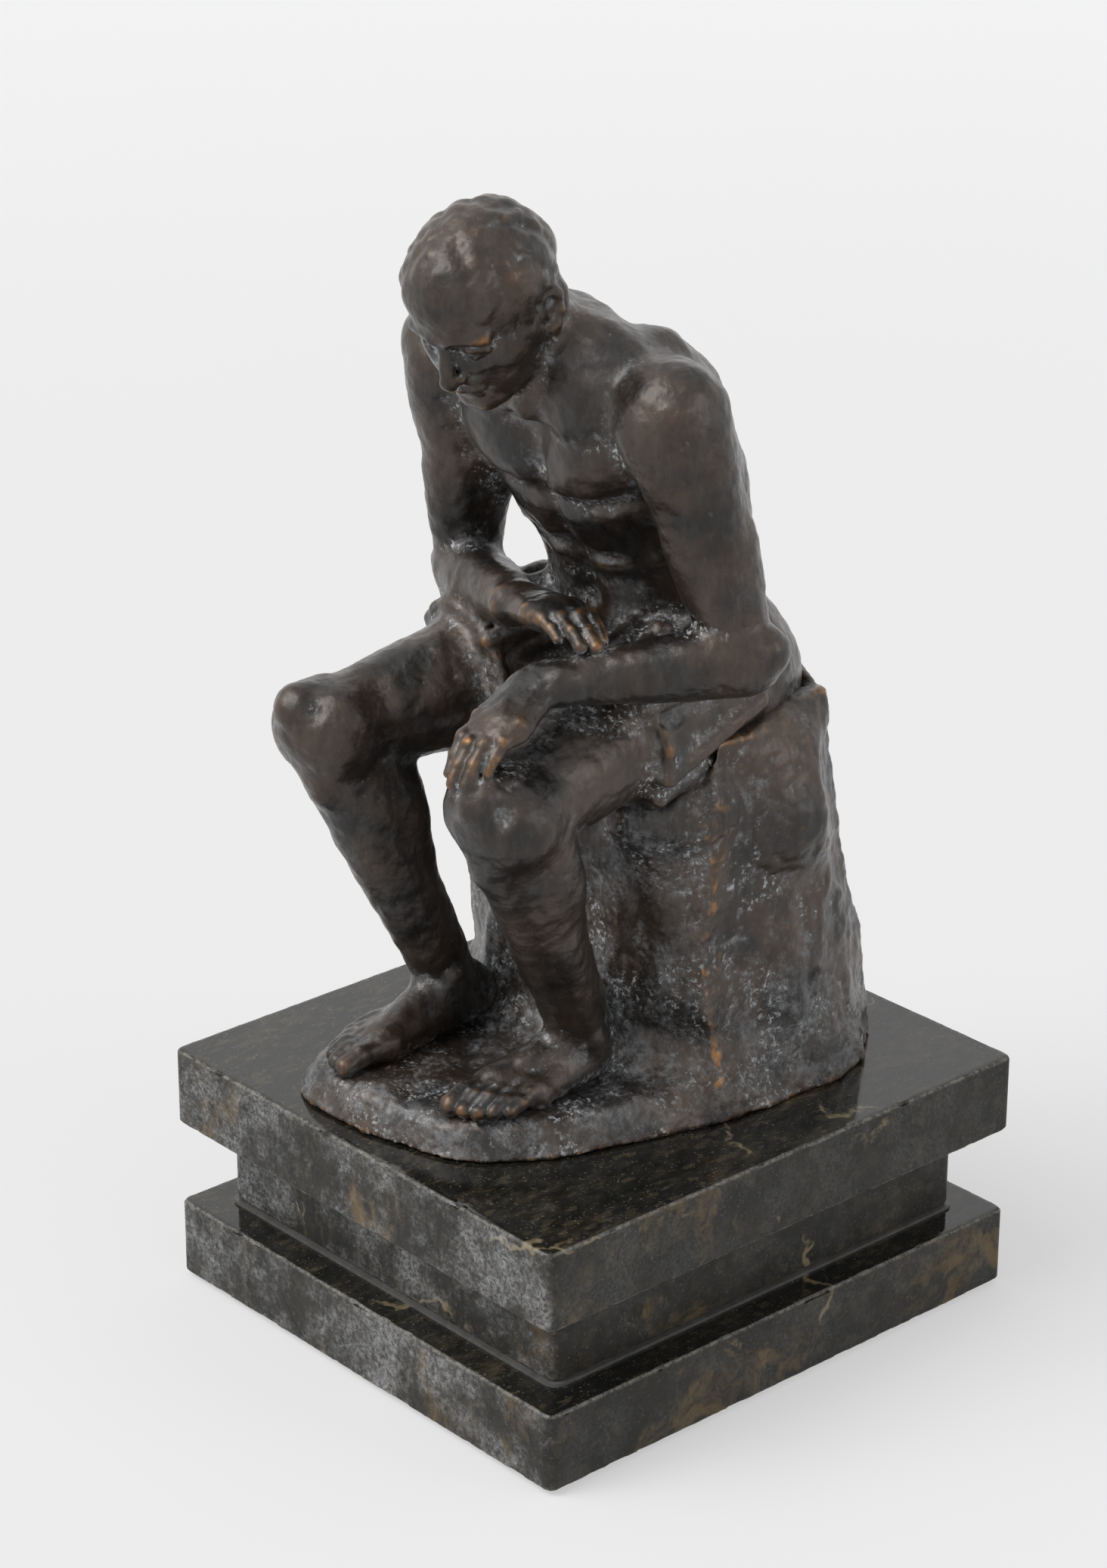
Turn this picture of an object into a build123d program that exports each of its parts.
from build123d import *

import os
from math import cos, radians, sin, sqrt, tan

# Seated bronze figure on a rock, bolted down to a plinth of three stone slabs.
# Millimetres, +Z up. The origin is the centre of the felt's underside.
# The figure faces -Y, so its left side is +X.

# Stone plinth: three slabs of one stock thickness, glued, with felt underneath
slab_thickness = 20.0
base_width = 138.0
base_depth = 150.0
neck_width = 119.0
neck_depth = 131.0
top_width = 138.0
top_depth = 151.0
slab_corner_radius = 2.5
slab_edge_ease = 0.8
bed_thickness = 0.8
lower_bead = 0.9
upper_bed_inset = 1.0
felt_thickness = 1.2
felt_margin = 2.5

# Fixings from the plinth into the rock: studs, nuts and washers, and a bar inside the rock
stud_radius = 3.0
stud_spacing = 36.0
stud_row_y = 18.0
stud_hole_clearance = 0.5
thread_clearance = 0.05
nut_across_flats = 10.0
nut_height = 5.0
washer_radius = 8.0
washer_thickness = 1.6
counterbore_radius = 10.0
counterbore_depth = 11.0
stud_end_past_nut = 1.5
bar_width = 14.0
bar_thickness = 6.0
bar_past_stud = 14.0
bar_lift = 5.0
bar_screw_radius = 2.0
bar_screw_head_radius = 3.5
bar_screw_head_height = 2.4
bar_screw_length = 14.0
bar_screw_past_stud = 9.0
lug_height = 16.0
lug_inside_screw = 3.5

# Rock: a hollow casting, a hewn block to sit on with a ridge at its back and its left, and a low
# terrace in front for the feet
rock_wall = 5.0
seat_height = 80.0
seat_centre_y = 22.0
facet_level = 41.0
terrace_height = 9.0
terrace_slope = 4.0
back_ridge_height = 15.0
side_ridge_height = 11.0
ridge_gap = 0.5

# Facets of the block: bearing in degrees, distance out at the facet level, lean in degrees
seat_facets = (
    (-3, 44.0, 4),
    (12, 45.5, 9),
    (33, 47.0, 8),
    (63, 41.5, 9),
    (91, 36.5, 8),
    (117, 41.0, 9),
    (148, 46.0, 8),
    (178, 43.0, 8),
    (202, 45.0, 9),
    (236, 43.0, 7),
    (270, 36.0, 5),
    (303, 42.0, 4),
)

# Corners of the terrace, from the back right round the front to the back left
terrace_corners = (
    (-43, 30),
    (-43, -20),
    (-40, -48),
    (-36, -62),
    (-27, -70),
    (-8, -71),
    (22, -64),
    (36, -47),
    (44, -22),
    (46.5, 4),
    (46, 30),
)

# Buttresses at the foot of the block: place, radius at the foot and at the top, height
buttresses = (
    (40.0, 24.0, 9.0, 6.0, 46.0),
    (34.0, 44.0, 11.0, 8.0, 38.0),
    (-10.0, 53.0, 10.0, 7.0, 56.0),
    (-41.0, 12.0, 9.0, 6.0, 28.0),
)

# Figure: lengths between joints, and the girth of each limb as half widths
limb_end_share = 0.95
thigh_length = 78.0
shank_length = 77.0
upper_arm_length = 57.0
forearm_length = 46.0
hip_above_seat = 20.0
hip_half_spacing = 16.0
hip_y = 20.0
ankle_above_terrace = 11.0
left_ankle_x = 20.0
left_ankle_y = -22.0
right_ankle_x = -21.0
right_ankle_y = -28.0
knee_splay = 0.2
thigh_radius_hem = 17.0
thigh_radius_mid = 16.4
knee_radius = 13.0
calf_radius = 12.6
calf_share = 0.3
shin_radius = 8.8
shin_share = 0.75
shank_flatness = 0.92
ankle_radius = 6.8
foot_length = 48.0
heel_behind_ankle = 11.0
foot_half_width = 9.0
instep_half_height = 9.0
toe_half_height = 5.0
sole_share = 0.8
shoulder_half_spacing = 35.0
shoulder_y = -11.0
shoulder_above_seat = 91.5
shoulder_radius = 12.6
upper_arm_radius = 10.8
elbow_radius = 7.8
forearm_radius = 9.2
forearm_share = 0.3
wrist_radius = 5.4
wrist_above_thigh = 2.5
hand_length = 33.0
hand_half_width = 8.4
hand_half_thickness = 3.9
left_wrist_share = 0.80
right_wrist_share = 0.60
elbow_reach_left = Vector(0.7, 1.0, -0.3)
elbow_reach_right = Vector(-1.5, 0.7, -0.2)
left_palm_way = Vector(0.1, -1.0, -0.45)
left_finger_way = Vector(0.05, -0.95, -0.75)
right_palm_way = Vector(1.0, -0.25, 0.2)
right_finger_way = Vector(0.9, -0.2, -0.15)
corner_share = 0.8
arm_flatness = 0.96
forearm_flatness = 0.9

# Sections along the sole: share of the foot's length, share of its width, share of the instep's height
foot_stations = (
    (0.0, 0.55, 0.45),
    (0.18, 0.72, 0.9),
    (0.45, 0.84, 1.0),
)

# Sections over the toes: share of the foot's length, share of its width, share of the toes' height
toe_stations = ((0.75, 1.0, 1.0), (1.0, 0.72, 0.5))

# Wrist end of the hand: shares of the wrist's radius
wrist_root = (0.8, 0.7)

# Sections of the palm and the fingers: share of the way, share of the width, share of the thickness
palm_stations = ((0.55, 0.92, 1.15),)
finger_stations = ((0.5, 0.9, 0.8), (1.0, 0.7, 0.5))
thigh_mid_share = 0.45
upper_arm_share = 0.45

# Torso: a hollow casting that leans forward from the waist
waist_above_seat = 39.0
waist_back_of_hips = -1.5
waist_half_width = 24.5
waist_half_depth = 17.0
torso_wall = 5.0
neck_radius = 10.8
neck_base_above_seat = 102.5
neck_base_y = -20.0

shoulder_line_inset = 2.0
belly_half_width = 26.0
belly_half_depth = 18.0
belly_back = 4.0
ribs_half_width = 31.0
ribs_half_depth = 21.0
ribs_back = 7.0
chest_half_depth = 21.5
chest_back = 7.0
shoulder_line_half_depth = 18.5
shoulder_line_back = 5.0
nape_half_width = 21.0
nape_half_depth = 15.5
nape_back = 2.5

# Sections up the torso: share of the height, bulge back, half width, half depth, lean
torso_stations = (
    (0.0, 0.0, waist_half_width, waist_half_depth, 8.0),
    (0.20, belly_back, belly_half_width, belly_half_depth, 15.0),
    (0.45, ribs_back, ribs_half_width, ribs_half_depth, 26.0),
    (0.68, chest_back, shoulder_half_spacing, chest_half_depth, 36.0),
    (
        0.86,
        shoulder_line_back,
        shoulder_half_spacing - shoulder_line_inset,
        shoulder_line_half_depth,
        44.0,
    ),
    (0.94, nape_back, nape_half_width, nape_half_depth, 46.0),
    (1.0, 0.0, neck_radius, neck_radius, 48.0),
)

# Shoulder blades: two swellings on each side of the back, at shares of the torso's height
blade_low_share = 0.58
blade_low_half_spacing = 15.0
blade_low_behind = 19.0
blade_low_radius = 9.5
blade_high_share = 0.78
blade_high_half_spacing = 17.5
blade_high_behind = 14.0
blade_high_radius = 11.0

# Head: bowed and turned a little to its left
head_bow = 34.0
head_turn = 12.0
head_forward_of_neck = 16.0
head_above_neck = 16.0
cranium_half_length = 19.0
cranium_half_width = 15.2
ear_height = 10.8
ear_length = 6.8
ear_standing_out = 2.2
ear_below_middle = 4.0
ear_behind_middle = 1.0
skull_base_below = 9.0
skull_base_behind = 6.0
throat_share = 0.92

# Sections down the face: above the middle of the head, ahead of it, half width, half depth
face_stations = (
    (5.0, 4.5, 13.6, 13.0),
    (-7.0, 6.5, 12.6, 11.8),
    (-15.5, 8.5, 9.8, 9.2),
    (-22.5, 10.5, 6.2, 5.6),
)

# Sections down the nose: above the middle of the head, ahead of it, half width, half depth
nose_stations = ((1.0, 17.2, 1.6, 1.6), (-4.5, 18.8, 1.9, 2.0), (-9.5, 18.8, 3.0, 2.6))

# Hip wrap: a cloth tied at the waist, cast with the hips and the upper thighs
cloth_thickness = 2.0
hem_share = 0.52
hip_half_width = 31.0
hip_half_depth = 23.5

# Sections up the hips: above the seat, ahead of the hip joints, less width, less depth, lean
pelvis_stations = ((-2.0, 1.0, 0.0, 0.0, 0.0), (14.0, 0.0, 0.0, 0.5, 0.0), (28.0, 0.5, 3.5, 3.0, 3.0))

# Sections of the cloth across the lap: share of the way to the hem, half width, half height
lap_stations = ((0.0, 20.0, 15.0), (0.55, 22.0, 13.0), (0.9, 20.0, 9.0))

# Sleeve joints between the castings: a spigot in a socket, held by a cross pin
spigot_clearance = 0.15
socket_end_gap = 0.5
pin_clearance = 0.05
leg_spigot_radius = 9.0
leg_spigot_length = 13.0
leg_pin_radius = 1.5
leg_pin_length = 26.0
waist_spigot_radius = 10.5
waist_spigot_length = 10.0
waist_vent_radius = 6.0
waist_pin_radius = 1.5
waist_pin_length = 32.0
neck_spigot_radius = 5.0
neck_spigot_length = 10.0
neck_pin_radius = 1.2
neck_pin_length = 16.0
shoulder_spigot_radius = 4.5
shoulder_spigot_length = 15.0
shoulder_pin_radius = 1.2
shoulder_pin_length = 14.0
foot_pin_radius = 1.5
foot_pin_length = 9.0
foot_pin_into_foot = 5.0
seat_screw_radius = 2.5
seat_screw_length = 16.0
seat_screw_half_spacing = 14.0
seat_screw_head_radius = 4.2
seat_screw_head_height = 3.0
seat_washer_radius = 5.5
seat_washer_thickness = 1.0

# Heights of the stack, from the felt up
base_bottom = felt_thickness
base_top = base_bottom + slab_thickness
neck_bottom = base_top + bed_thickness
neck_top = neck_bottom + slab_thickness
top_bottom = neck_top + bed_thickness
plinth_top = top_bottom + slab_thickness
terrace_top = plinth_top + terrace_height
seat_top = plinth_top + seat_height
bar_bottom = plinth_top + bar_lift
bar_top = bar_bottom + bar_thickness

# Directions as the figure sees them
UP = Vector(0, 0, 1)
LEFT = Vector(1, 0, 0)
AHEAD = Vector(0, -1, 0)


# Joints of the figure
def middle_joint(root, tip, first, second, towards):
    """The knee or elbow of a two-bone limb, bent towards a direction."""
    span = tip - root
    along = span.normalized()
    reach = (first**2 - second**2 + span.length**2) / (2 * span.length)
    rise = sqrt(first**2 - reach**2)
    return root + along * reach + square_to(towards, along) * rise


def square_to(direction, along):
    """The part of a direction that is square to another, at unit length."""
    along = along.normalized()
    return (direction - along * direction.dot(along)).normalized()


def leaned(lean):
    """The upward normal of a section, leaned forward by so many degrees."""
    return Vector(0, -sin(radians(lean)), cos(radians(lean)))


left_hip = Vector(hip_half_spacing, hip_y, seat_top + hip_above_seat)
right_hip = Vector(-hip_half_spacing, hip_y, seat_top + hip_above_seat)
left_ankle = Vector(left_ankle_x, left_ankle_y, terrace_top + ankle_above_terrace)
right_ankle = Vector(right_ankle_x, right_ankle_y, terrace_top + ankle_above_terrace)
left_knee = middle_joint(
    left_hip, left_ankle, thigh_length, shank_length, AHEAD + LEFT * knee_splay
)
right_knee = middle_joint(
    right_hip, right_ankle, thigh_length, shank_length, AHEAD - LEFT * knee_splay
)
left_hem = left_hip + (left_knee - left_hip) * hem_share
right_hem = right_hip + (right_knee - right_hip) * hem_share

left_shoulder = Vector(shoulder_half_spacing, shoulder_y, seat_top + shoulder_above_seat)
right_shoulder = Vector(-shoulder_half_spacing, shoulder_y, seat_top + shoulder_above_seat)
over_thigh = UP * (thigh_radius_mid + wrist_radius + wrist_above_thigh)
half_hand = hand_length / 2
left_wrist = left_hip + (left_knee - left_hip) * left_wrist_share + over_thigh
right_wrist = (
    left_hip
    + (left_knee - left_hip) * right_wrist_share
    + over_thigh
    - LEFT * (half_hand + wrist_radius)
    + UP * wrist_radius
)
left_elbow = middle_joint(
    left_shoulder, left_wrist, upper_arm_length, forearm_length, elbow_reach_left
)
right_elbow = middle_joint(
    right_shoulder, right_wrist, upper_arm_length, forearm_length, elbow_reach_right
)
left_knuckles = left_wrist + left_palm_way.normalized() * half_hand
left_tips = left_knuckles + left_finger_way.normalized() * half_hand
right_knuckles = right_wrist + right_palm_way.normalized() * half_hand
right_tips = right_knuckles + right_finger_way.normalized() * half_hand

waist = Vector(0, hip_y + waist_back_of_hips, seat_top + waist_above_seat)
waist_lean = torso_stations[0][-1]
neck_base = Vector(0, neck_base_y, seat_top + neck_base_above_seat)
neck_lean = torso_stations[-1][-1]
bow, turn = radians(head_bow), radians(head_turn)
head_ahead = Vector(sin(turn) * cos(bow), -cos(turn) * cos(bow), -sin(bow))
head_up = Vector(sin(turn) * sin(bow), -cos(turn) * sin(bow), cos(bow))
head_left = head_up.cross(head_ahead)
head_centre = neck_base + AHEAD * head_forward_of_neck + UP * head_above_neck


# Sections and rods that the castings are made of
def oval(centre, along, half_width, half_depth, across):
    """An oval section square to a limb, with its longer half width along across."""
    plane = Plane(origin=centre, x_dir=square_to(across, along), z_dir=along.normalized())
    with BuildSketch(plane) as section:
        Ellipse(half_width, half_depth)
    return section.sketch


def rounded_box(centre, along, half_width, half_height, across):
    """A rounded oblong section square to a hand or foot."""
    plane = Plane(origin=centre, x_dir=square_to(across, along), z_dir=along.normalized())
    with BuildSketch(plane) as section:
        RectangleRounded(2 * half_width, 2 * half_height, corner_share * min(half_width, half_height))
    return section.sketch


def rod(start, along, radius, length):
    """A plain round rod from a point, along a direction."""
    with BuildPart() as stock:
        with BuildSketch(Plane(origin=start, z_dir=along.normalized())):
            Circle(radius)
        extrude(amount=length)
    return stock.part


def centred_rod(middle, along, radius, length):
    """A plain round rod centred on a point."""
    return rod(middle - along.normalized() * (length / 2), along, radius, length)


def limb(start, end, across, stations):
    """Oval sections along a straight bone: (share of the bone, half width, half depth)."""
    along = end - start
    return [oval(start + along * s, along, w, d, across) for s, w, d in stations]


# Plinth slabs
def slab(width, depth, bottom):
    """One stone slab with rounded corners and eased edges."""
    with BuildPart() as stone:
        with BuildSketch(Plane.XY.offset(bottom)):
            RectangleRounded(width, depth, slab_corner_radius)
        extrude(amount=slab_thickness)
        chamfer(stone.faces().filter_by(Axis.Z).edges(), slab_edge_ease)
    return stone.part


stud_places = [(-stud_spacing / 2, stud_row_y), (stud_spacing / 2, stud_row_y)]
stud_hole_radius = stud_radius + stud_hole_clearance

with BuildPart() as base_slab:
    add(slab(base_width, base_depth, base_bottom))
    with Locations(Plane.XY.offset(base_bottom)):
        with Locations(Rotation(180, 0, 0)):
            with Locations(*[(x, -y) for x, y in stud_places]):
                CounterBoreHole(stud_hole_radius, counterbore_radius, counterbore_depth)
base_slab.part.label = "base_slab"

with BuildPart() as neck_slab:
    add(slab(neck_width, neck_depth, neck_bottom))
    with Locations(Plane.XY.offset(neck_top)):
        with Locations(*stud_places):
            Hole(stud_hole_radius)
neck_slab.part.label = "neck_slab"

with BuildPart() as top_slab:
    add(slab(top_width, top_depth, top_bottom))
    with Locations(Plane.XY.offset(plinth_top)):
        with Locations(*stud_places):
            Hole(stud_hole_radius)
top_slab.part.label = "top_slab"


# Glue beds between the slabs and the felt under them
def thin_sheet(width, depth, corner, bottom, thickness, hole_radius):
    """A thin sheet with rounded corners and a hole round each stud."""
    with BuildPart() as sheet:
        with BuildSketch(Plane.XY.offset(bottom)):
            RectangleRounded(width, depth, corner)
            with Locations(*stud_places):
                Circle(hole_radius, mode=Mode.SUBTRACT)
        extrude(amount=thickness)
    return sheet.part


with BuildPart() as lower_glue_bed:
    add(
        thin_sheet(
            neck_width + 2 * lower_bead,
            neck_depth + 2 * lower_bead,
            slab_corner_radius + lower_bead,
            base_top,
            bed_thickness,
            stud_hole_radius,
        )
    )
lower_glue_bed.part.label = "lower_glue_bed"

with BuildPart() as upper_glue_bed:
    add(
        thin_sheet(
            neck_width - 2 * upper_bed_inset,
            neck_depth - 2 * upper_bed_inset,
            slab_corner_radius,
            neck_top,
            bed_thickness,
            stud_hole_radius,
        )
    )
upper_glue_bed.part.label = "upper_glue_bed"

with BuildPart() as felt_sheet:
    add(
        thin_sheet(
            base_width - 2 * felt_margin,
            base_depth - 2 * felt_margin,
            slab_corner_radius,
            0,
            felt_thickness,
            counterbore_radius,
        )
    )
felt_sheet.part.label = "felt_sheet"


# Rock casting
seat_middle = Vector(0, seat_centre_y, plinth_top + facet_level)
block_span = 4 * max(out for _, out, _ in seat_facets)


def hewn_block(height, inset):
    """A block cut by leaning facets, or the hollow inside it, from the plinth up."""
    with BuildPart() as block:
        with Locations((0, seat_centre_y, plinth_top)):
            Box(block_span, block_span, height, align=(Align.CENTER, Align.CENTER, Align.MIN))
        for bearing, out, lean in seat_facets:
            way = Vector(cos(radians(bearing)), sin(radians(bearing)), 0)
            facet = Plane(origin=seat_middle + way * (out - inset), z_dir=way + UP * tan(radians(lean)))
            split(bisect_by=facet, keep=Keep.BOTTOM)
    return block.part


def terrace_ring(height, inset):
    """The outline of the terrace at a height over the plinth, drawn in by an inset."""
    with BuildSketch(Plane.XY.offset(plinth_top + height)) as outline:
        with BuildLine():
            Polyline(*terrace_corners, close=True)
        make_face()
        if inset:
            offset(amount=-inset, kind=Kind.INTERSECTION, mode=Mode.REPLACE)
    return outline.sketch


def terrace_rings(inset, top_drop):
    """The sections of the terrace under the feet, or of the hollow inside it."""
    return [terrace_ring(0, inset), terrace_ring(terrace_height - top_drop, inset + terrace_slope)]


def ridge(height, edge, outward):
    """What rises above the seat on the far side of an upright plane."""
    with BuildPart() as rise:
        add(hewn_block(seat_height + height, 0))
        split(bisect_by=Plane.XY.offset(seat_top), keep=Keep.TOP)
        split(bisect_by=Plane(origin=edge, z_dir=outward), keep=Keep.TOP)
    return rise.part


sleeve_radius = thigh_radius_hem + cloth_thickness
back_ridge_edge = Vector(0, hip_y + hip_half_depth + ridge_gap, seat_top)
thigh_run = left_knee - left_hip
thigh_side = square_to(LEFT, Vector(thigh_run.X, thigh_run.Y, 0))
side_ridge_edge = left_hip + thigh_side * (sleeve_radius + ridge_gap)
bar_length = stud_spacing + 2 * bar_past_stud
bar_screw_x = stud_spacing / 2 + bar_screw_past_stud
bar_screw_places = [(-bar_screw_x, stud_row_y), (bar_screw_x, stud_row_y)]
seat_screw_places = [(-seat_screw_half_spacing, hip_y), (seat_screw_half_spacing, hip_y)]
foot_pin_places = [left_ankle + AHEAD * foot_half_width, right_ankle + AHEAD * foot_half_width]
foot_pin_bottom = terrace_top + foot_pin_into_foot - foot_pin_length

with BuildPart() as rock_outside:
    add(hewn_block(seat_height, 0))
    loft(sections=terrace_rings(0, 0), ruled=True)
    for x, y, foot_radius, top_radius, height in buttresses:
        with Locations((x, y, plinth_top)):
            Cone(foot_radius, top_radius, height, align=(Align.CENTER, Align.CENTER, Align.MIN))

# Lugs on the side walls, which the mounting bar is screwed up to
lug_inner_end = bar_screw_x - lug_inside_screw
lug_length = max(out for _, out, _ in seat_facets) - lug_inner_end
lug_middle = lug_inner_end + lug_length / 2

with BuildPart() as lugs:
    with BuildSketch(Plane.XY.offset(bar_top)):
        with Locations((-lug_middle, stud_row_y), (lug_middle, stud_row_y)):
            Rectangle(lug_length, bar_width)
    extrude(amount=lug_height)
    add(rock_outside.part, mode=Mode.INTERSECT)

with BuildPart() as rock:
    add(rock_outside.part)
    add(ridge(back_ridge_height, back_ridge_edge, AHEAD * -1))
    add(ridge(side_ridge_height, side_ridge_edge, thigh_side))
    add(hewn_block(seat_height - rock_wall, rock_wall), mode=Mode.SUBTRACT)
    loft(sections=terrace_rings(rock_wall, rock_wall), ruled=True, mode=Mode.SUBTRACT)
    add(lugs.part)
    for x, y in bar_screw_places:
        hole = rod(Vector(x, y, bar_top), UP, bar_screw_radius + thread_clearance, bar_screw_length)
        add(hole, mode=Mode.SUBTRACT)
    for x, y in seat_screw_places:
        hole_foot = Vector(x, y, seat_top - 2 * rock_wall)
        hole = rod(hole_foot, UP, seat_screw_radius + stud_hole_clearance, 2 * rock_wall)
        add(hole, mode=Mode.SUBTRACT)
    for place in foot_pin_places:
        hole_foot = Vector(place.X, place.Y, foot_pin_bottom)
        hole = rod(hole_foot, UP, foot_pin_radius + pin_clearance, foot_pin_length)
        add(hole, mode=Mode.SUBTRACT)
rock.part.label = "rock_casting"


# Outer forms of the figure's castings
def leg_form(hem, knee, ankle):
    """Thigh below the hem, knee, shank and foot, with the sole flat on the terrace."""
    knee_end = knee_radius * limb_end_share
    ankle_end = ankle_radius * limb_end_share
    thigh = (
        (0.0, thigh_radius_hem, thigh_radius_hem),
        (thigh_mid_share, thigh_radius_mid, thigh_radius_mid),
        (1.0, knee_end, knee_end),
    )
    shank = (
        (0.0, knee_end, knee_end * shank_flatness),
        (calf_share, calf_radius, calf_radius * shank_flatness),
        (shin_share, shin_radius, shin_radius * shank_flatness),
        (1.0, ankle_end, ankle_end * shank_flatness),
    )
    foot = [(at, width, high * instep_half_height) for at, width, high in foot_stations]
    foot += [(at, width, high * toe_half_height) for at, width, high in toe_stations]
    heel = ankle - AHEAD * heel_behind_ankle
    soles = []
    for share, width_share, half_height in foot:
        spot = heel + AHEAD * (foot_length * share)
        middle = Vector(spot.X, spot.Y, terrace_top + half_height * sole_share)
        soles.append(rounded_box(middle, AHEAD, foot_half_width * width_share, half_height, LEFT))
    with BuildPart() as leg:
        loft(sections=limb(hem, knee, LEFT, thigh))
        with Locations(knee):
            Sphere(knee_radius)
        loft(sections=limb(knee, ankle, AHEAD, shank))
        with Locations(ankle):
            Sphere(ankle_radius)
        loft(sections=soles)
        split(bisect_by=Plane.XY.offset(terrace_top), keep=Keep.TOP)
    return leg.part


def hand_sections(wrist, forearm_way, knuckles, tips, across):
    """Sections of a relaxed hand, from the wrist over the knuckles to the fingertips."""
    root = wrist - forearm_way.normalized() * wrist_radius
    palm_way = knuckles - wrist
    finger_way = tips - knuckles
    width, thickness = hand_half_width, hand_half_thickness
    root_width, root_thickness = (share * wrist_radius for share in wrist_root)
    sections = [rounded_box(root, forearm_way, root_width, root_thickness, across)]
    for at, wide, thick in palm_stations:
        spot = wrist + palm_way * at
        sections.append(rounded_box(spot, palm_way, width * wide, thickness * thick, across))
    sections.append(rounded_box(knuckles, palm_way + finger_way, width, thickness, across))
    for at, wide, thick in finger_stations:
        spot = knuckles + finger_way * at
        sections.append(rounded_box(spot, finger_way, width * wide, thickness * thick, across))
    return sections


def arm_form(shoulder, elbow, wrist, knuckles, tips, across):
    """Shoulder, upper arm, forearm and hand."""
    shoulder_end = shoulder_radius * limb_end_share
    elbow_end = elbow_radius * limb_end_share
    wrist_end = wrist_radius * limb_end_share
    upper = (
        (0.0, shoulder_end, shoulder_end),
        (upper_arm_share, upper_arm_radius, upper_arm_radius * arm_flatness),
        (1.0, elbow_end, elbow_end),
    )
    fore = (
        (0.0, elbow_end, elbow_end),
        (forearm_share, forearm_radius, forearm_radius * forearm_flatness),
        (1.0, wrist_end, wrist_end * forearm_flatness),
    )
    with BuildPart() as arm:
        with Locations(shoulder):
            Sphere(shoulder_radius)
        loft(sections=limb(shoulder, elbow, AHEAD, upper))
        with Locations(elbow):
            Sphere(elbow_radius)
        loft(sections=limb(elbow, wrist, across, fore))
        loft(sections=hand_sections(wrist, wrist - elbow, knuckles, tips, across))
    return arm.part


def torso_sections(stations, wall):
    """Oval sections up the torso, or up the hollow inside it."""
    rings = []
    for share, bulge, width, depth, lean in stations:
        centre = waist + (neck_base - waist) * share - AHEAD * bulge
        rings.append(oval(centre, leaned(lean), width - wall, depth - wall, LEFT))
    return rings


def blade_spot(share, half_spacing, behind, side):
    """The middle of a swelling on the back, behind the straight line from the waist to the neck."""
    return waist + (neck_base - waist) * share - AHEAD * behind + LEFT * (side * half_spacing)


def hip_sections():
    """Oval sections from the seat up to the band of the wrap at the waist."""
    rings = []
    for above_seat, forward, less_width, less_depth, lean in pelvis_stations:
        centre = Vector(0, hip_y, seat_top + above_seat) + AHEAD * forward
        width, depth = hip_half_width - less_width, hip_half_depth - less_depth
        rings.append(oval(centre, leaned(lean), width, depth, LEFT))
    band_width = waist_half_width + cloth_thickness / 2
    band_depth = waist_half_depth + cloth_thickness / 2
    rings.append(oval(waist, leaned(waist_lean), band_width, band_depth, LEFT))
    return rings


def lap_sections():
    """Sections of the cloth between the thighs, from the hips to the hem."""
    start = (left_hip + right_hip) * 0.5
    way = (left_hem + right_hem) * 0.5 - start
    boxes = []
    for share, half_width, half_height in lap_stations:
        boxes.append(rounded_box(start + way * share, AHEAD, half_width, half_height, LEFT))
    return boxes


def head_spot(above, ahead):
    """A point in the middle plane of the head."""
    return head_centre + head_up * above + head_ahead * ahead


with BuildPart() as torso_form:
    loft(sections=torso_sections(torso_stations, 0))
    for side in (-1, 1):
        with Locations(blade_spot(blade_low_share, blade_low_half_spacing, blade_low_behind, side)):
            Sphere(blade_low_radius)
        with Locations(blade_spot(blade_high_share, blade_high_half_spacing, blade_high_behind, side)):
            Sphere(blade_high_radius)

sleeve_stations = ((0.0, sleeve_radius, sleeve_radius), (1.0, sleeve_radius, sleeve_radius))

with BuildPart() as hip_form:
    loft(sections=hip_sections())
    for hip, hem in ((left_hip, left_hem), (right_hip, right_hem)):
        loft(sections=limb(hip, hem, LEFT, sleeve_stations))
        with Locations(hip):
            Sphere(sleeve_radius)
    loft(sections=lap_sections())
    split(bisect_by=Plane.XY.offset(seat_top), keep=Keep.TOP)
    add(torso_form.part, mode=Mode.SUBTRACT)

skull_base = head_spot(-skull_base_below, -skull_base_behind)
throat = (neck_base + skull_base) * 0.5
throat_radius = neck_radius * throat_share

with BuildPart() as head_form:
    with BuildSketch(Plane(origin=head_centre, x_dir=head_left, z_dir=head_up)):
        Ellipse(cranium_half_width, cranium_half_length)
        split(bisect_by=Plane.YZ)
    revolve(axis=Axis(head_centre, head_ahead * -1))
    loft(sections=[oval(head_spot(z, y), head_up, w, d, head_left) for z, y, w, d in face_stations])
    loft(sections=[rounded_box(head_spot(z, y), head_up, w, d, head_left) for z, y, w, d in nose_stations])
    for side in (-1, 1):
        ear_middle = head_spot(-ear_below_middle, -ear_behind_middle)
        ear = ear_middle + head_left * (side * (cranium_half_width - ear_standing_out))
        with BuildSketch(Plane(origin=ear, x_dir=head_up, z_dir=head_left * side)):
            Ellipse(ear_height / 2, ear_length / 2)
        extrude(amount=2 * ear_standing_out)
    loft(
        sections=[
            oval(neck_base, leaned(neck_lean), neck_radius, neck_radius, LEFT),
            oval(throat, leaned(head_bow), throat_radius, throat_radius, LEFT),
            oval(skull_base, leaned(head_bow), neck_radius, neck_radius, LEFT),
        ]
    )

left_leg_form = leg_form(left_hem, left_knee, left_ankle)
right_leg_form = leg_form(right_hem, right_knee, right_ankle)
left_arm_form = arm_form(left_shoulder, left_elbow, left_wrist, left_knuckles, left_tips, LEFT)
right_arm_form = arm_form(
    right_shoulder, right_elbow, right_wrist, right_knuckles, right_tips, AHEAD
)


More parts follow.
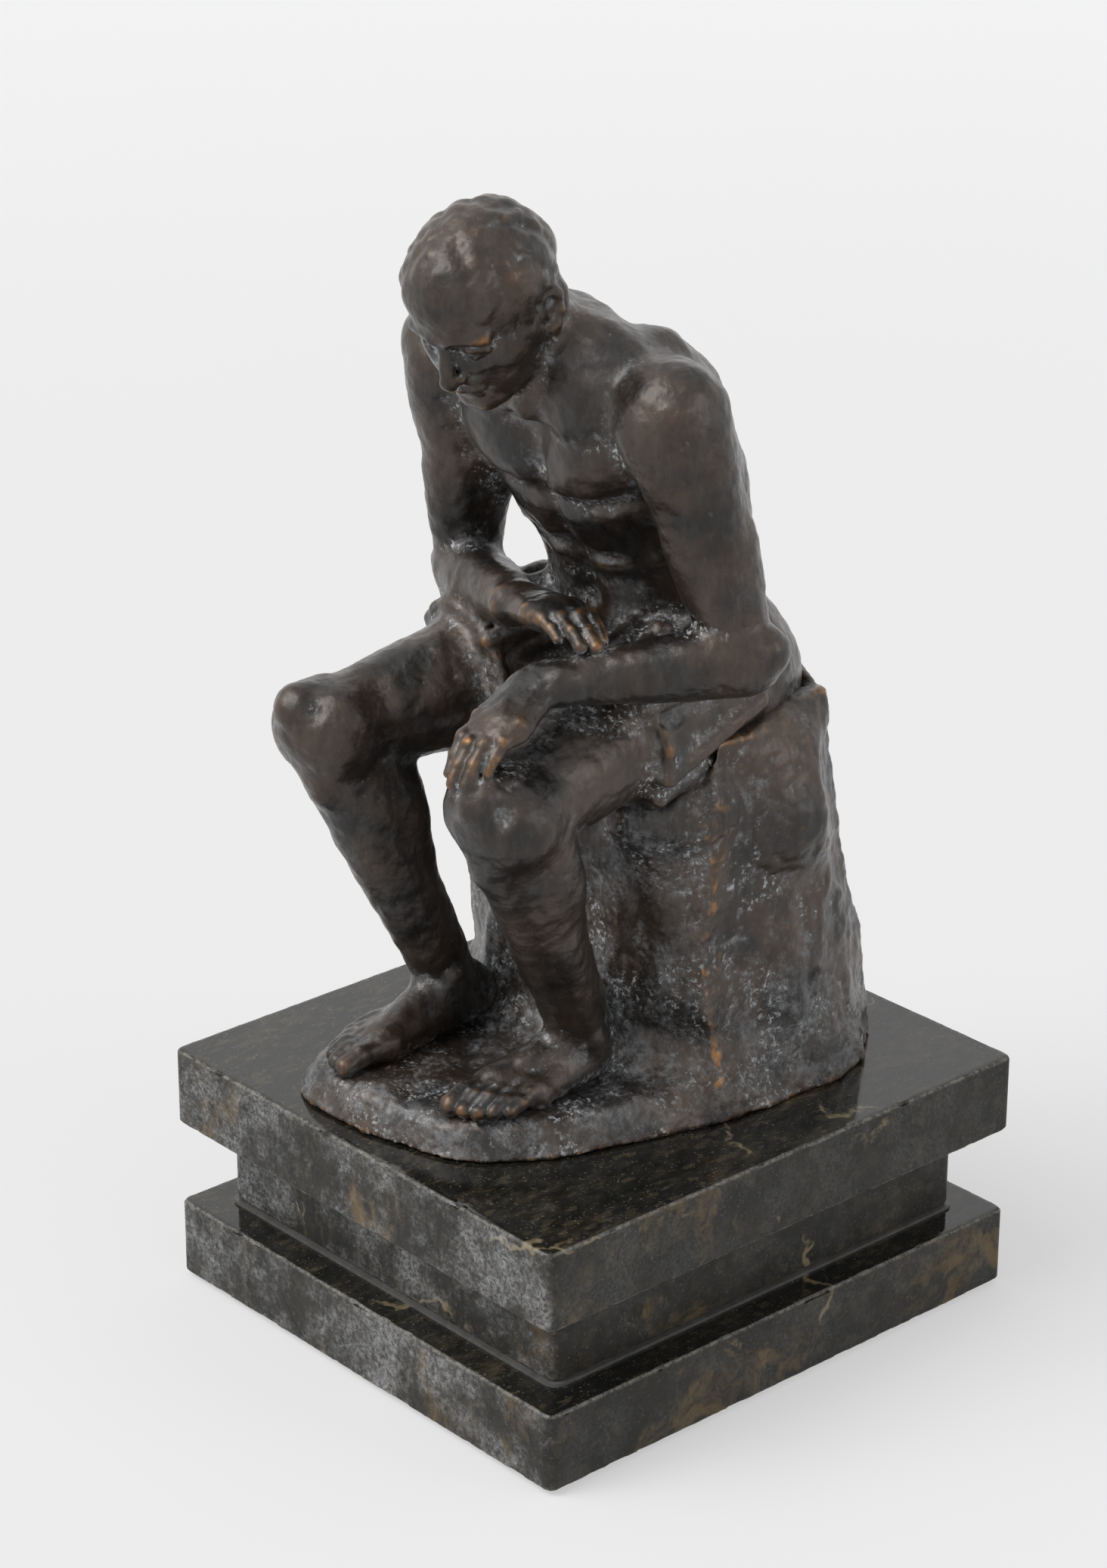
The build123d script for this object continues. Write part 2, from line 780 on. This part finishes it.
# Sleeve joints
class SleeveJoint:
    """A spigot on one casting, the socket for it in another, and the pin across them."""

    def __init__(self, mouth, inward, across, spigot, pin):
        spigot_radius, spigot_length = spigot
        pin_radius, pin_length = pin
        middle = mouth + inward.normalized() * (spigot_length / 2)
        across = square_to(across, inward)
        socket_radius = spigot_radius + spigot_clearance
        hole_radius = pin_radius + pin_clearance
        self.spigot = rod(mouth, inward, spigot_radius, spigot_length)
        self.socket = rod(mouth, inward, socket_radius, spigot_length + socket_end_gap)
        self.pin = centred_rod(middle, across, pin_radius, pin_length)
        self.pin_hole = centred_rod(middle, across, hole_radius, pin_length + 2 * pin_clearance)


leg_spigot = (leg_spigot_radius, leg_spigot_length)
leg_pin = (leg_pin_radius, leg_pin_length)
left_leg_joint = SleeveJoint(left_hem, left_hip - left_hem, LEFT, leg_spigot, leg_pin)
right_leg_joint = SleeveJoint(right_hem, right_hip - right_hem, LEFT, leg_spigot, leg_pin)

waist_spigot = (waist_spigot_radius, waist_spigot_length)
waist_cross_pin = (waist_pin_radius, waist_pin_length)
waist_joint = SleeveJoint(waist, leaned(waist_lean) * -1, LEFT, waist_spigot, waist_cross_pin)

neck_spigot = (neck_spigot_radius, neck_spigot_length)
neck_cross_pin = (neck_pin_radius, neck_pin_length)
neck_joint = SleeveJoint(neck_base, leaned(neck_lean) * -1, LEFT, neck_spigot, neck_cross_pin)

shoulder_spigot = (shoulder_spigot_radius, shoulder_spigot_length)
shoulder_pin = (shoulder_pin_radius, shoulder_pin_length)
left_arm_joint = SleeveJoint(left_shoulder, LEFT * -1, AHEAD, shoulder_spigot, shoulder_pin)
right_arm_joint = SleeveJoint(right_shoulder, LEFT, AHEAD, shoulder_spigot, shoulder_pin)

# Castings of the figure
seat_screw_into_hips = seat_screw_length - rock_wall - seat_washer_thickness

with BuildPart() as hips:
    add(hip_form.part)
    for joint in (left_leg_joint, right_leg_joint, waist_joint):
        add(joint.socket, mode=Mode.SUBTRACT)
        add(joint.pin_hole, mode=Mode.SUBTRACT)
    for x, y in seat_screw_places:
        hole_radius = seat_screw_radius + thread_clearance
        hole = rod(Vector(x, y, seat_top), UP, hole_radius, seat_screw_into_hips + socket_end_gap)
        add(hole, mode=Mode.SUBTRACT)
hips.part.label = "hip_casting"

hollow_stations = torso_stations[1:4]
vent_length = hollow_stations[0][0] * (neck_base - waist).length + torso_wall

with BuildPart() as torso:
    add(torso_form.part)
    loft(sections=torso_sections(hollow_stations, torso_wall), mode=Mode.SUBTRACT)
    add(waist_joint.spigot)
    vent_top = waist + leaned(waist_lean) * vent_length
    vent = rod(vent_top, leaned(waist_lean) * -1, waist_vent_radius, vent_length + waist_spigot_length)
    add(vent, mode=Mode.SUBTRACT)
    add(waist_joint.pin_hole, mode=Mode.SUBTRACT)
    for joint in (neck_joint, left_arm_joint, right_arm_joint):
        add(joint.socket, mode=Mode.SUBTRACT)
        add(joint.pin_hole, mode=Mode.SUBTRACT)
torso.part.label = "torso_casting"

with BuildPart() as head:
    add(head_form.part)
    add(torso_form.part, mode=Mode.SUBTRACT)
    add(neck_joint.spigot)
    add(neck_joint.pin_hole, mode=Mode.SUBTRACT)
head.part.label = "head_casting"


def pinned_leg(form, joint, pin_place):
    """A leg casting with its spigot, its cross hole and the hole in its sole."""
    with BuildPart() as leg:
        add(form)
        add(hip_form.part, mode=Mode.SUBTRACT)
        add(rock_outside.part, mode=Mode.SUBTRACT)
        add(joint.spigot)
        add(joint.pin_hole, mode=Mode.SUBTRACT)
        sole = Vector(pin_place.X, pin_place.Y, terrace_top)
        hole = rod(sole, UP, foot_pin_radius + pin_clearance, foot_pin_into_foot + pin_clearance)
        add(hole, mode=Mode.SUBTRACT)
    return leg.part


with BuildPart() as left_leg:
    add(pinned_leg(left_leg_form, left_leg_joint, foot_pin_places[0]))
left_leg.part.label = "left_leg_casting"

with BuildPart() as right_leg:
    add(pinned_leg(right_leg_form, right_leg_joint, foot_pin_places[1]))
right_leg.part.label = "right_leg_casting"


def pinned_arm(form, joint, neighbours):
    """An arm casting with its spigot and its cross hole, cut clear of what it rests on."""
    with BuildPart() as arm:
        add(form, clean=False)
        for neighbour in neighbours:
            add(neighbour, clean=False, mode=Mode.SUBTRACT)
        add(joint.spigot, clean=False)
        add(joint.pin_hole, clean=False, mode=Mode.SUBTRACT)
    return arm.part


body_forms = [torso_form.part, hip_form.part, left_leg_form, right_leg_form]

with BuildPart() as left_arm:
    add(pinned_arm(left_arm_form, left_arm_joint, body_forms), clean=False)
left_arm.part.label = "left_arm_casting"

with BuildPart() as right_arm:
    add(pinned_arm(right_arm_form, right_arm_joint, body_forms + [left_arm_form]), clean=False)
right_arm.part.label = "right_arm_casting"

# Pins across the sleeve joints, and under the feet
with BuildPart() as waist_pin:
    add(waist_joint.pin)
waist_pin.part.label = "waist_pin"

with BuildPart() as neck_pin:
    add(neck_joint.pin)
neck_pin.part.label = "neck_pin"

with BuildPart() as shoulder_pins:
    add(left_arm_joint.pin)
    add(right_arm_joint.pin)
shoulder_pins.part.label = "shoulder_pins"

with BuildPart() as leg_pins:
    add(left_leg_joint.pin)
    add(right_leg_joint.pin)
leg_pins.part.label = "leg_pins"

with BuildPart() as foot_pins:
    for place in foot_pin_places:
        add(rod(Vector(place.X, place.Y, foot_pin_bottom), UP, foot_pin_radius, foot_pin_length))
foot_pins.part.label = "foot_pins"

# Screws that hold the hips down on the seat, from inside the rock
seat_washer_bottom = seat_top - rock_wall - seat_washer_thickness

with BuildPart() as seat_washers:
    with BuildSketch(Plane.XY.offset(seat_washer_bottom)):
        with Locations(*seat_screw_places):
            Circle(seat_washer_radius)
            Circle(seat_screw_radius + stud_hole_clearance, mode=Mode.SUBTRACT)
    extrude(amount=seat_washer_thickness)
seat_washers.part.label = "seat_washers"

with BuildPart() as seat_screws:
    with BuildSketch(Plane.XY.offset(seat_washer_bottom)):
        with Locations(*seat_screw_places):
            Circle(seat_screw_radius)
    extrude(amount=seat_screw_length)
    with BuildSketch(Plane.XY.offset(seat_washer_bottom)):
        with Locations(*seat_screw_places):
            RegularPolygon(seat_screw_head_radius, 6)
    extrude(amount=-seat_screw_head_height)
seat_screws.part.label = "seat_screws"

# Mounting bar in the rock, its screws, and the studs down through the plinth
with BuildPart() as mounting_bar:
    with BuildSketch(Plane.XY.offset(bar_bottom)):
        with Locations((0, stud_row_y)):
            Rectangle(bar_length, bar_width)
        with Locations(*stud_places):
            Circle(stud_radius + thread_clearance, mode=Mode.SUBTRACT)
        with Locations(*bar_screw_places):
            Circle(bar_screw_radius + stud_hole_clearance, mode=Mode.SUBTRACT)
    extrude(amount=bar_thickness)
mounting_bar.part.label = "mounting_bar"

with BuildPart() as bar_screws:
    with BuildSketch(Plane.XY.offset(bar_bottom)):
        with Locations(*bar_screw_places):
            Circle(bar_screw_radius)
    extrude(amount=bar_screw_length)
    with BuildSketch(Plane.XY.offset(bar_bottom)):
        with Locations(*bar_screw_places):
            Circle(bar_screw_head_radius)
    extrude(amount=-bar_screw_head_height)
bar_screws.part.label = "bar_screws"

washer_bottom = base_bottom + counterbore_depth - washer_thickness
nut_bottom = washer_bottom - nut_height
stud_bottom = nut_bottom - stud_end_past_nut

with BuildPart() as plinth_studs:
    with BuildSketch(Plane.XY.offset(stud_bottom)):
        with Locations(*stud_places):
            Circle(stud_radius)
    extrude(amount=bar_top - stud_bottom)
plinth_studs.part.label = "plinth_studs"

with BuildPart() as stud_washers:
    with BuildSketch(Plane.XY.offset(washer_bottom)):
        with Locations(*stud_places):
            Circle(washer_radius)
            Circle(stud_radius + stud_hole_clearance, mode=Mode.SUBTRACT)
    extrude(amount=washer_thickness)
stud_washers.part.label = "stud_washers"

with BuildPart() as stud_nuts:
    with BuildSketch(Plane.XY.offset(nut_bottom)):
        with Locations(*stud_places):
            RegularPolygon(nut_across_flats / 2, 6, major_radius=False)
            Circle(stud_radius + thread_clearance, mode=Mode.SUBTRACT)
    extrude(amount=nut_height)
stud_nuts.part.label = "stud_nuts"

# One STEP file for each piece, from the felt up
pieces = (
    felt_sheet,
    base_slab,
    lower_glue_bed,
    neck_slab,
    upper_glue_bed,
    top_slab,
    plinth_studs,
    stud_washers,
    stud_nuts,
    mounting_bar,
    bar_screws,
    rock,
    seat_screws,
    seat_washers,
    hips,
    torso,
    head,
    left_arm,
    right_arm,
    left_leg,
    right_leg,
    waist_pin,
    neck_pin,
    shoulder_pins,
    leg_pins,
    foot_pins,
)
os.makedirs("parts", exist_ok=True)
for piece in pieces:
    export_step(piece.part, f"parts/{piece.part.label}.step")
